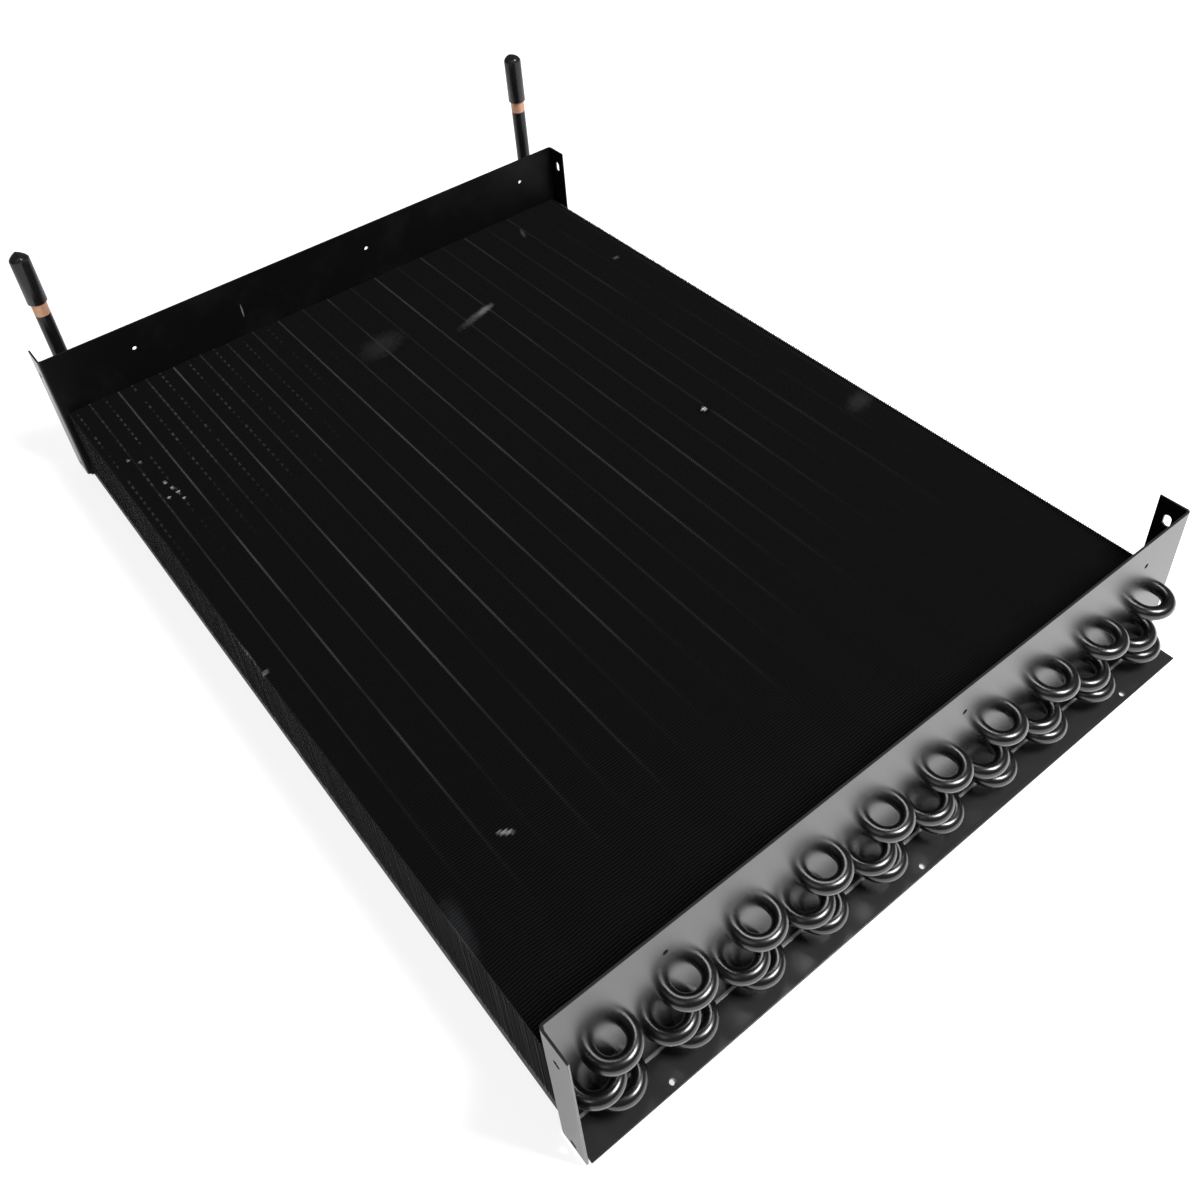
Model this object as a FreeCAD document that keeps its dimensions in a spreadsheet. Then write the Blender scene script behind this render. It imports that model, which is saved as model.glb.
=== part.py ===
import FreeCAD, Part
import math
import os

# Finned condenser coil, lying face up on the feet of its two end plates.
# X runs across the coil, Y along the tubes from the near plate to the far one, Z up.
# Sizes are measured from the near plate's outer face, the coil's left side and the floor.
# The finished pieces are placed with the origin under the middle of the near plate's foot.

DRIVING_SIZES = (
    ("tube_pitch", 25.4, "tube spacing within a row"),
    ("row_pitch", 22.0, "height between rows"),
    ("tubes_per_row", 20, "tubes in each of the three rows, an even number"),
    ("tube_outside", 9.52, "outside diameter of the coil tubes"),
    ("tube_clearance", 0.1, "gap round a tube in its hole"),
    ("core_length", 700.0, "over the outer faces of the two plates"),
    ("plate_height", 125.0, "height of an end plate"),
    ("plate_side_gap", 5.0, "from the fins to each side of a plate"),
    ("sheet", 1.6, "end plate sheet thickness"),
    ("fold_radius", 1.5, "inside radius of the folds"),
    ("side_flange", 22.0, "left flange, folded outwards"),
    ("foot_flange", 22.0, "foot, folded outwards"),
    ("return_flange", 22.0, "right flange, folded inwards"),
    ("fin_floor_gap", 5.0, "from the floor to the fins"),
    ("fin_plate_gap", 2.0, "from the end fins to the plates"),
    ("fin_count", 48, "fins drawn along the pack"),
    ("fin_sheet", 2.4, "thickness of a drawn fin"),
    ("fin_reveal", 5.0, "depth of the gaps on the top and underside"),
    ("fin_side_reveal", 1.0, "depth of the gaps on the two sides"),
    ("tube_sides", 6, "flats round a coil tube"),
    ("bend_corners", 5, "mitred corners in a near bend"),
    ("far_bend_corners", 4, "mitred corners in a far bend"),
    ("stub_sides", 12, "flats round the inlet and outlet"),
    ("elbow_corners", 3, "mitred corners in a stub's elbow"),
    ("cap_sides", 16, "flats round a sealing cap"),
    ("bend_standoff", 1.0, "straight tube between the near plate and a bend"),
    ("leg_projection", 8.0, "tube beyond the far plate"),
    ("stub_outside", 12.7, "outside diameter of the inlet and outlet"),
    ("stub_wall", 0.8, "wall of the inlet and outlet"),
    ("stub_offset", 32.0, "from the far plate to the axis of a riser"),
    ("elbow_radius", 19.0, "centre line radius of a stub's elbow"),
    ("socket_depth", 7.0, "how far a stub slides over its tube"),
    ("inlet_top", 201.0, "height of the inlet's open end"),
    ("outlet_top", 210.0, "height of the outlet's open end"),
    ("cap_wall", 1.6, "wall of a sealing cap"),
    ("cap_clearance", 0.1, "gap round a stub in its cap"),
    ("cap_end_gap", 1.0, "from a stub's open end to the cap's closed end"),
    ("cap_length", 46.0, "length of a sealing cap"),
    ("cap_chamfer", 3.0, "bevel round a cap's closed end"),
    ("flange_hole", 5.0, "holes in the left flange"),
    ("flange_hole_low", 9.0, "height of the lower one"),
    ("flange_hole_rise", 97.0, "height between the two"),
    ("foot_hole", 4.0, "holes in the foot"),
    ("foot_hole_first", 62.0, "first one from the left"),
    ("foot_hole_pitch", 200.0, "spacing of the foot holes"),
    ("foot_hole_edge", 4.5, "foot holes to the foot's free edge"),
    ("web_hole", 4.0, "tooling holes near the top edge of a plate"),
    ("web_hole_sides", 8, "flats round such a hole"),
    ("web_hole_drop", 23.0, "top edge to those holes"),
    ("web_hole_one", 76.0, "first tooling hole from the left"),
    ("web_hole_two", 303.0, "second tooling hole"),
    ("web_hole_three", 478.0, "third tooling hole"),
    ("slot_width", 5.5, "slots in the right flange"),
    ("slot_height", 10.0, "overall height of a slot"),
    ("slot_edge", 17.0, "slot centres from the top and from the floor"),
)

doc = FreeCAD.newDocument("FinnedCondenserCoil")
sheet = doc.addObject("Spreadsheet::Sheet", "Sizes")
for line, (alias, value, note) in enumerate(DRIVING_SIZES, 1):
    sheet.set(f"A{line}", note)
    sheet.set(f"B{line}", str(value))
    sheet.setAlias(f"B{line}", alias)
doc.recompute()


def value(expression):
    """What an expression on the sheet comes to, as a plain number."""
    return float(sheet.evalExpression(str(expression)))


# Derived sizes, as expressions on the sheet
PLATE_WIDTH = "(Sizes.tubes_per_row * Sizes.tube_pitch + 2 * Sizes.plate_side_gap)"
OUTER_FOLD = "(Sizes.fold_radius + Sizes.sheet)"
CORE_SPAN = "(Sizes.core_length - 2 * Sizes.sheet - 2 * Sizes.fin_plate_gap)"
MIDDLE_ROW_X = "(Sizes.plate_side_gap + Sizes.tube_pitch / 4)"
OUTER_ROW_X = f"({MIDDLE_ROW_X} + Sizes.tube_pitch / 2)"
LAST_OUTER_X = f"({OUTER_ROW_X} + (Sizes.tubes_per_row - 1) * Sizes.tube_pitch)"
BOTTOM_ROW_Z = "(Sizes.fin_floor_gap + Sizes.row_pitch / 2)"
MIDDLE_ROW_Z = f"({BOTTOM_ROW_Z} + Sizes.row_pitch)"
TOP_ROW_Z = f"({BOTTOM_ROW_Z} + 2 * Sizes.row_pitch)"
HOLE_RADIUS = "(Sizes.tube_outside / 2 + Sizes.tube_clearance)"
ORIGIN_X = f"({PLATE_WIDTH} / 2)"
ORIGIN_Y = "(-(Sizes.foot_flange + Sizes.fold_radius) / 2)"

# Name, first tube and height of each row; the middle row is staggered by half a pitch
ROWS = (
    ("top", OUTER_ROW_X, TOP_ROW_Z),
    ("middle", MIDDLE_ROW_X, MIDDLE_ROW_Z),
    ("bottom", OUTER_ROW_X, BOTTOM_ROW_Z),
)

ALONG_Y = FreeCAD.Rotation(FreeCAD.Vector(1, 0, 0), -90)
ALONG_X = FreeCAD.Rotation(FreeCAD.Vector(0, 1, 0), 90)
UPRIGHT = FreeCAD.Rotation()
CUT_OVERRUN = 1.0
THROUGH_SHEET = f"Sizes.sheet + {2 * CUT_OVERRUN}"


def placeNode(node, x, y, z):
    """Puts a piece where its expressions say, seen from the finished model's origin."""
    node.setExpression("Placement.Base.x", f"{x} - {ORIGIN_X}")
    node.setExpression("Placement.Base.y", f"{y} - {ORIGIN_Y}")
    node.setExpression("Placement.Base.z", f"{z}")


def addBody(label, x=0, y=0, z=0):
    body = doc.addObject("PartDesign::Body", label)
    body.Label = label
    placeNode(body, x, y, z)
    return body


def addPrimitive(body, kind, name, sizes, place, rotation=UPRIGHT):
    """A PartDesign primitive whose sizes and place are expressions on the sheet."""
    feature = body.newObject(f"PartDesign::{kind}", name)
    feature.Placement = FreeCAD.Placement(FreeCAD.Vector(), rotation)
    for prop, expression in sizes.items():
        feature.setExpression(prop, str(expression))
    for axis, expression in zip("xyz", place):
        feature.setExpression(f"Placement.Base.{axis}", str(expression))
    return feature


def originAxis(body, role):
    return next(item for item in body.Origin.OriginFeatures if item.Role == role)


def addPattern(body, original, axis, spacing, count):
    """Repeats a feature along one axis of its body."""
    pattern = body.newObject("PartDesign::LinearPattern", f"{original.Name}s")
    pattern.Originals = [original]
    pattern.Direction = (originAxis(body, axis), [""])
    pattern.Mode = "Spacing"
    pattern.setExpression("Offset", spacing)
    pattern.setExpression("Occurrences", str(count))
    body.Tip = pattern


def addTubeHoles(body, sides, circumradius, turn, start, length):
    """Passages for the three rows of tubes, each a prism repeated along its row."""
    rotation = ALONG_Y.multiply(FreeCAD.Rotation(FreeCAD.Vector(0, 0, 1), turn))
    sizes = {"Polygon": sides, "Circumradius": circumradius, "Height": length}
    for row, first_x, height in ROWS:
        hole = addPrimitive(body, "SubtractivePrism", f"{body.Label}_{row}_hole", sizes,
                            (first_x, start, height), rotation)
        addPattern(body, hole, "X_Axis", "Sizes.tube_pitch", "Sizes.tubes_per_row")


def addFold(body, name, length, axis, rotation, quarter):
    """A quarter turn of sheet about an axis, hollowed to the inside radius."""
    outer = addPrimitive(body, "AdditiveCylinder", f"{name}Fold",
                         {"Radius": OUTER_FOLD, "Height": length}, axis, rotation)
    outer.Angle = 90
    outer.Placement = FreeCAD.Placement(
        FreeCAD.Vector(), rotation.multiply(FreeCAD.Rotation(FreeCAD.Vector(0, 0, 1), quarter)))
    addPrimitive(body, "SubtractiveCylinder", f"{name}FoldInside",
                 {"Radius": "Sizes.fold_radius", "Height": length}, axis, rotation)


def makeEndPlate(label):
    """The folded tube sheet: upright web, left flange and foot turned out, right flange turned in."""
    body = addBody(label)
    web_width = f"{PLATE_WIDTH} - 2 * {OUTER_FOLD}"
    upright = f"Sizes.plate_height - {OUTER_FOLD}"
    addPrimitive(body, "AdditiveBox", "Web",
                 {"Length": web_width, "Width": "Sizes.sheet", "Height": upright},
                 (OUTER_FOLD, 0, OUTER_FOLD))
    addFold(body, "Left", upright, (OUTER_FOLD, "-Sizes.fold_radius", OUTER_FOLD), UPRIGHT, 90)
    addPrimitive(body, "AdditiveBox", "LeftFlange",
                 {"Length": "Sizes.sheet", "Width": "Sizes.side_flange - Sizes.fold_radius",
                  "Height": upright},
                 (0, "-Sizes.side_flange", OUTER_FOLD))
    addFold(body, "Right", upright, (f"{PLATE_WIDTH} - {OUTER_FOLD}", OUTER_FOLD, OUTER_FOLD),
            UPRIGHT, -90)
    addPrimitive(body, "AdditiveBox", "RightFlange",
                 {"Length": "Sizes.sheet", "Width": f"Sizes.return_flange - {OUTER_FOLD}",
                  "Height": upright},
                 (f"{PLATE_WIDTH} - Sizes.sheet", OUTER_FOLD, OUTER_FOLD))
    addFold(body, "Foot", web_width, (OUTER_FOLD, "-Sizes.fold_radius", OUTER_FOLD), ALONG_X, 0)
    addPrimitive(body, "AdditiveBox", "Foot",
                 {"Length": web_width, "Width": "Sizes.foot_flange - Sizes.fold_radius",
                  "Height": "Sizes.sheet"},
                 (OUTER_FOLD, "-Sizes.foot_flange", 0))
    addFixingHoles(body)
    addTubeHoles(body, "Sizes.tube_sides", HOLE_RADIUS, 0, -CUT_OVERRUN, THROUGH_SHEET)
    return body


def addFixingHoles(body):
    """Round holes in the left flange, the foot and the web, and slots in the right flange."""
    low = addPrimitive(body, "SubtractiveCylinder", "FlangeHole",
                       {"Radius": "Sizes.flange_hole / 2", "Height": THROUGH_SHEET},
                       (-CUT_OVERRUN, "-Sizes.side_flange / 2", "Sizes.flange_hole_low"), ALONG_X)
    addPattern(body, low, "Z_Axis", "Sizes.flange_hole_rise", 2)
    foot = addPrimitive(body, "SubtractiveCylinder", "FootHole",
                        {"Radius": "Sizes.foot_hole / 2", "Height": THROUGH_SHEET},
                        ("Sizes.foot_hole_first", "Sizes.foot_hole_edge - Sizes.foot_flange",
                         -CUT_OVERRUN))
    addPattern(body, foot, "X_Axis", "Sizes.foot_hole_pitch", 3)
    for place in ("one", "two", "three"):
        addPrimitive(body, "SubtractivePrism", f"WebHole_{place}",
                     {"Circumradius": "Sizes.web_hole / 2", "Height": THROUGH_SHEET,
                      "Polygon": "Sizes.web_hole_sides"},
                     (f"Sizes.web_hole_{place}", -CUT_OVERRUN,
                      "Sizes.plate_height - Sizes.web_hole_drop"), ALONG_Y)
    slot_x = f"{PLATE_WIDTH} - Sizes.sheet - {CUT_OVERRUN}"
    slot_y = f"({OUTER_FOLD} + Sizes.return_flange) / 2"
    straight = "(Sizes.slot_height - Sizes.slot_width)"
    rise = "Sizes.plate_height - 2 * Sizes.slot_edge"
    for name, end in (("Lower", -1), ("Upper", 1)):
        cylinder = addPrimitive(body, "SubtractiveCylinder", f"Slot{name}End",
                                {"Radius": "Sizes.slot_width / 2", "Height": THROUGH_SHEET},
                                (slot_x, slot_y, f"Sizes.slot_edge + {end} * {straight} / 2"),
                                ALONG_X)
        addPattern(body, cylinder, "Z_Axis", rise, 2)
    middle = addPrimitive(body, "SubtractiveBox", "SlotMiddle",
                          {"Length": THROUGH_SHEET, "Width": "Sizes.slot_width",
                           "Height": straight},
                          (slot_x, f"{slot_y} - Sizes.slot_width / 2",
                           f"Sizes.slot_edge - {straight} / 2"))
    addPattern(body, middle, "Z_Axis", rise, 2)


def makeFarPlate(label, near_plate):
    """The far plate is the near one mirrored about the middle of the coil."""
    mirrored = doc.addObject("Part::Mirroring", label)
    mirrored.Label = label
    mirrored.Source = near_plate
    mirrored.Normal = FreeCAD.Vector(0, 1, 0)
    mirrored.setExpression("Base.y", f"Sizes.core_length / 2 - {ORIGIN_Y}")
    return mirrored


def makeFinPack(label):
    """The stack of fins: a core that the tubes pass through, with a gap between each pair of fins."""
    body = addBody(label)
    start = "Sizes.sheet + Sizes.fin_plate_gap"
    width = "Sizes.tubes_per_row * Sizes.tube_pitch"
    height = "3 * Sizes.row_pitch"
    addPrimitive(body, "AdditiveBox", "Core",
                 {"Length": f"{width} - 2 * Sizes.fin_side_reveal", "Width": CORE_SPAN,
                  "Height": f"{height} - 2 * Sizes.fin_reveal"},
                 ("Sizes.plate_side_gap + Sizes.fin_side_reveal", start,
                  "Sizes.fin_floor_gap + Sizes.fin_reveal"))
    fin = addPrimitive(body, "AdditiveBox", "Fin",
                       {"Length": width, "Width": "Sizes.fin_sheet", "Height": height},
                       ("Sizes.plate_side_gap", start, "Sizes.fin_floor_gap"))
    spacing = f"({CORE_SPAN} - Sizes.fin_sheet) / (Sizes.fin_count - 1)"
    addPattern(body, fin, "Y_Axis", spacing, "Sizes.fin_count")
    square = 4
    addTubeHoles(body, square, f"{HOLE_RADIUS} * sqrt(2)", 180 / square,
                 f"{start} - {CUT_OVERRUN}", f"{CORE_SPAN} + {2 * CUT_OVERRUN}")
    return body


def sweepTube(points, radius, sides):
    """A many-sided tube through the points, with mitred corners and an edge along each side."""
    along = (points[1] - points[0]).normalize()
    across = FreeCAD.Vector(1, 0, 0)
    up = across.cross(along)
    ring = []
    for side in range(sides + 1):
        angle = 2 * math.pi * side / sides
        ring.append(points[0] + across * (radius * math.cos(angle)) + up * (radius * math.sin(angle)))
    return Part.makePolygon(points).makePipeShell([Part.makePolygon(ring)], True, False, 1)


def halfTurn(corners, radius, start_y, outward):
    """The mitred corners of a half turn about Z, from the left leg round to the right one."""
    corner_radius = radius / math.cos(math.pi / (2 * corners))
    turned = []
    for corner in range(corners):
        angle = math.pi * (corner + 0.5) / corners
        turned.append(FreeCAD.Vector(-corner_radius * math.cos(angle),
                                     start_y + outward * corner_radius * math.sin(angle), 0))
    return turned


def nearHairpin():
    """One hairpin about its own middle: two legs joined by the bend outside the near plate."""
    radius = value("Sizes.tube_pitch / 2")
    leg_end = value("Sizes.core_length + Sizes.leg_projection")
    bend = halfTurn(int(value("Sizes.bend_corners")), radius, -value("Sizes.bend_standoff"), -1)
    points = [FreeCAD.Vector(-radius, leg_end, 0)] + bend + [FreeCAD.Vector(radius, leg_end, 0)]
    return sweepTube(points, value("Sizes.tube_outside / 2"), int(value("Sizes.tube_sides")))


def farBend(radius):
    """One bend about its own middle, brazed to two leg ends beyond the far plate."""
    leg_end = value("Sizes.core_length + Sizes.leg_projection")
    bend = halfTurn(int(value("Sizes.far_bend_corners")), radius, leg_end, 1)
    points = [FreeCAD.Vector(-radius, leg_end, 0)] + bend + [FreeCAD.Vector(radius, leg_end, 0)]
    return sweepTube(points, value("Sizes.tube_outside / 2"), int(value("Sizes.tube_sides")))


def addSwept(label, shape, x, y, z, rotation=UPRIGHT):
    feature = doc.addObject("Part::Feature", label)
    feature.Label = label
    feature.Shape = shape
    feature.Placement = FreeCAD.Placement(FreeCAD.Vector(), rotation)
    placeNode(feature, x, y, z)
    return feature


def makeTubing():
    """A hairpin for every two tubes, and each row's far return bends as one group."""
    hairpin = nearHairpin()
    bend = farBend(value("Sizes.tube_pitch / 2"))
    hairpins = int(value("Sizes.tubes_per_row / 2"))
    made = []
    for row, first_x, height in ROWS:
        for index in range(hairpins):
            middle = f"{first_x} + {2 * index + 0.5} * Sizes.tube_pitch"
            made.append(addSwept(f"hairpin_{row}_{index + 1:02d}", hairpin.copy(),
                                 middle, 0, height))
        bends = []
        for index in range(hairpins - 1):
            copy = bend.copy()
            copy.translate(FreeCAD.Vector(value(f"{2 * index} * Sizes.tube_pitch"), 0, 0))
            bends.append(copy)
        made.append(addSwept(f"return_bends_{row}", Part.makeCompound(bends),
                             f"{first_x} + 1.5 * Sizes.tube_pitch", 0, height))
    return made


def makeCrossovers():
    """The two bends that lead from one row down to the next, at the ends of the rows."""
    last = "(Sizes.tubes_per_row - 1) * Sizes.tube_pitch"
    ends = (
        ("crossover_bend_right", last, TOP_ROW_Z),
        ("crossover_bend_left", "0", BOTTOM_ROW_Z),
    )
    made = []
    for label, along, outer_z in ends:
        across = value(f"{OUTER_ROW_X} - {MIDDLE_ROW_X}")
        rise = value(f"{outer_z} - {MIDDLE_ROW_Z}")
        tilt = FreeCAD.Rotation(FreeCAD.Vector(0, -1, 0), math.degrees(math.atan2(rise, across)))
        made.append(addSwept(label, farBend(math.hypot(across, rise) / 2),
                             f"({OUTER_ROW_X} + {MIDDLE_ROW_X}) / 2 + {along}", 0,
                             f"({outer_z} + {MIDDLE_ROW_Z}) / 2", tilt))
    return made


def stubPath(start_y, top):
    """Centre line of a stub: out from the far plate, round the elbow and up."""
    radius = value("Sizes.elbow_radius")
    riser_y = value("Sizes.stub_offset")
    corners = int(value("Sizes.elbow_corners"))
    corner_radius = radius / math.cos(math.pi / (4 * corners))
    points = [FreeCAD.Vector(0, start_y, 0)]
    for corner in range(corners):
        angle = math.pi * (corner + 0.5) / (2 * corners)
        points.append(FreeCAD.Vector(0, riser_y - radius + corner_radius * math.sin(angle),
                                     radius - corner_radius * math.cos(angle)))
    return points + [FreeCAD.Vector(0, riser_y, top)]


def makeStub(label, tube_x, tube_z, open_end):
    """Inlet or outlet: a socket over the end of a coil tube, an elbow and an open riser."""
    top = value(f"{open_end} - {tube_z}")
    leg_end = value("Sizes.leg_projection")
    start = value("Sizes.leg_projection - Sizes.socket_depth")
    sides = int(value("Sizes.stub_sides"))
    outer = sweepTube(stubPath(start, top), value("Sizes.stub_outside / 2"), sides)
    bore = sweepTube(stubPath(leg_end, top + CUT_OVERRUN),
                     value("Sizes.stub_outside / 2 - Sizes.stub_wall"), sides)
    socket = sweepTube([FreeCAD.Vector(0, start - CUT_OVERRUN, 0), FreeCAD.Vector(0, leg_end, 0)],
                       value(HOLE_RADIUS), int(value("Sizes.tube_sides")))
    return addSwept(label, outer.cut([bore, socket]), tube_x, "Sizes.core_length", tube_z)


def makeCap(label, tube_x, open_end):
    """Soft cap pushed over a stub's open end, with a bevelled closed end."""
    body = addBody(label, tube_x, "Sizes.core_length + Sizes.stub_offset",
                   f"{open_end} + Sizes.cap_end_gap + Sizes.cap_wall - Sizes.cap_length")
    inside = "(Sizes.stub_outside / 2 + Sizes.cap_clearance) / cos(180 / Sizes.cap_sides)"
    shell = addPrimitive(body, "AdditivePrism", "Shell",
                         {"Circumradius": f"{inside} + Sizes.cap_wall",
                          "Height": "Sizes.cap_length", "Polygon": "Sizes.cap_sides"}, (0, 0, 0))
    doc.recompute()
    closed_end = next(f"Face{index}" for index, face in enumerate(shell.Shape.Faces, 1)
                      if face.BoundBox.ZLength < 1e-6 and face.BoundBox.ZMin > 0)
    bevel = body.newObject("PartDesign::Chamfer", "Bevel")
    bevel.Base = (shell, [closed_end])
    bevel.setExpression("Size", "Sizes.cap_chamfer")
    addPrimitive(body, "SubtractivePrism", "Inside",
                 {"Circumradius": inside, "Polygon": "Sizes.cap_sides",
                  "Height": f"Sizes.cap_length - Sizes.cap_wall + {CUT_OVERRUN}"},
                 (0, 0, -CUT_OVERRUN))
    return body


near_plate = makeEndPlate("near_end_plate")
parts = [
    near_plate,
    makeFarPlate("far_end_plate", near_plate),
    makeFinPack("fin_pack"),
    makeStub("inlet_stub", OUTER_ROW_X, TOP_ROW_Z, "Sizes.inlet_top"),
    makeCap("inlet_cap", OUTER_ROW_X, "Sizes.inlet_top"),
    makeStub("outlet_stub", LAST_OUTER_X, BOTTOM_ROW_Z, "Sizes.outlet_top"),
    makeCap("outlet_cap", LAST_OUTER_X, "Sizes.outlet_top"),
]
parts += makeTubing()
parts += makeCrossovers()
doc.recompute()

for item in doc.Objects:
    if "Invalid" in item.State or "Error" in item.State:
        raise RuntimeError(f"{item.Label} did not compute: {item.State}")
for part in parts:
    if part.Shape.isNull() or not part.Shape.isValid():
        raise RuntimeError(f"{part.Label} has no valid shape")

os.makedirs("parts", exist_ok=True)
for part in parts:
    part.Shape.exportStep(f"parts/{part.Label}.step")
print(len(parts), "parts,", sum(len(part.Shape.Solids) for part in parts), "solids")
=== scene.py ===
import bpy
import bmesh
import math
from mathutils import Matrix, Vector


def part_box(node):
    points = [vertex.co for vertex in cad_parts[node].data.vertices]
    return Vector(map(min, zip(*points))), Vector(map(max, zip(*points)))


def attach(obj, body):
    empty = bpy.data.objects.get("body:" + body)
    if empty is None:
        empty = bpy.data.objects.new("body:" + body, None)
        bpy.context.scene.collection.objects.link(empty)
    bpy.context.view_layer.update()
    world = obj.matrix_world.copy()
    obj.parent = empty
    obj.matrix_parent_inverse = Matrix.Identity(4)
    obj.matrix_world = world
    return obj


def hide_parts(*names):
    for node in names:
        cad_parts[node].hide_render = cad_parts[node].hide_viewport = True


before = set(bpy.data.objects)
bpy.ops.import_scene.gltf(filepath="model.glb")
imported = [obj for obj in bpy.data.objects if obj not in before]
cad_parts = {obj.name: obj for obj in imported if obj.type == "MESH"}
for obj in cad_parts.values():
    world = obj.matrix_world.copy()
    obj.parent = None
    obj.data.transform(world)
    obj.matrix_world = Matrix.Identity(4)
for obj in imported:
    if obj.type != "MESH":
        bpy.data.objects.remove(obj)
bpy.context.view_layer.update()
mm = 0.001

# Places that everything is set out from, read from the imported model
plateLow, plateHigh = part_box("near_end_plate")
packLow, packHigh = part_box("fin_pack")
farLow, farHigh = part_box("far_end_plate")
tubePitch = 25.4 * mm
flange = 22 * mm                 # how far the plates' flanges and feet stand out
nearWeb = plateHigh.y - flange   # outer face of the near web
farWeb = farLow.y + flange       # outer face of the far web
print("frame loaded")


def hexToLinear(code):
    parts = [int(code[i:i + 2], 16) / 255 for i in (1, 3, 5)]
    return [c / 12.92 if c <= 0.04045 else ((c + 0.055) / 1.055) ** 2.4 for c in parts] + [1]


def addNode(tree, kind, settings=None, links=None):
    # settings holds the node's own options and its unlinked sockets, links its linked ones
    node = tree.nodes.new(kind)
    for key, value in (settings or {}).items():
        if isinstance(key, str) and key in node.bl_rna.properties:
            setattr(node, key, value)
        else:
            node.inputs[key].default_value = value
    for key, source in (links or {}).items():
        tree.links.new(source, node.inputs[key])
    return node


def newMaterial(name):
    material = bpy.data.materials.new(name)
    material.use_nodes = True
    tree = material.node_tree
    tree.nodes.clear()
    return material, tree


def newObject(name, data):
    made = bpy.data.objects.new(name, data)
    bpy.context.scene.collection.objects.link(made)
    return made


def makePiece(name, mesh, material, replaced, smooth=40):
    # smooth is the angle in degrees up to which faces are shaded as one surface
    piece = newObject(name, mesh)
    mesh.materials.clear()
    mesh.materials.append(material)
    for polygon in mesh.polygons:
        polygon.use_smooth = True
    mesh.set_sharp_from_angle(angle=math.radians(smooth))
    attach(piece, "root")
    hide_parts(replaced)
    return piece


def meshFrom(name, verts, faces):
    mesh = bpy.data.meshes.new(name)
    mesh.from_pydata(verts, [], faces)
    mesh.validate()
    mesh.update()
    return mesh


# Sprayed black enamel on folded steel sheet: half a mirror at a low angle, dull where dust lies on it. The
# near plate was sprayed straight on and is glossier, the far plate's paint is drier.
plateFinish = {
    "colour": "#0e0e0f",
    "ior": 1.5,
    "roughness": 0.25,
    "coat": 0.6,
    "specular": 0.5,
    "dryRoughness": 0.5,
    "dryCoat": 0.0,
    "drySpecular": 0.18,
    "roughnessSpread": 0.03,
    "coatPolish": 0.05,          # how much smoother the coat is than the paint under it
    "peelScale": 1.6,            # mm between the dimples of the spray
    "peelDepth": 0.004,          # mm
    "dust": "#202021",
    "dustScale": 45,             # mm, dust and handling marks
    "dustNoise": (0.5, 0.8),     # noise levels where the marks start and are full
    "dustMost": 0.7,
    "dustRoughness": 0.6,
    "dustCover": 0.75,           # of the faces that lie flat and face up
    "dustTilt": 0.8,             # height of the normal above which dust settles on a face
    "bare": "#c4c4c6",           # paint scratched through, and the painted highlight along the near fold
    "paintedFoldHighlight": (1.65, 1.9, 4.0, 5.4),   # mm above the floor: the painted highlight on the near fold starts, is full, lessens, ends
    "paintedFoldHighlightDepth": 0.1,          # mm behind the near web's outer face
    "scratch": {"x": -85.0, "z": 94.0, "width": 0.9, "height": 8.0, "depth": 100.0},   # mm, on the far web
    "scratchCore": 0.4,          # share of its size that is at full strength
    "scratchMost": 0.45,
}


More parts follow.
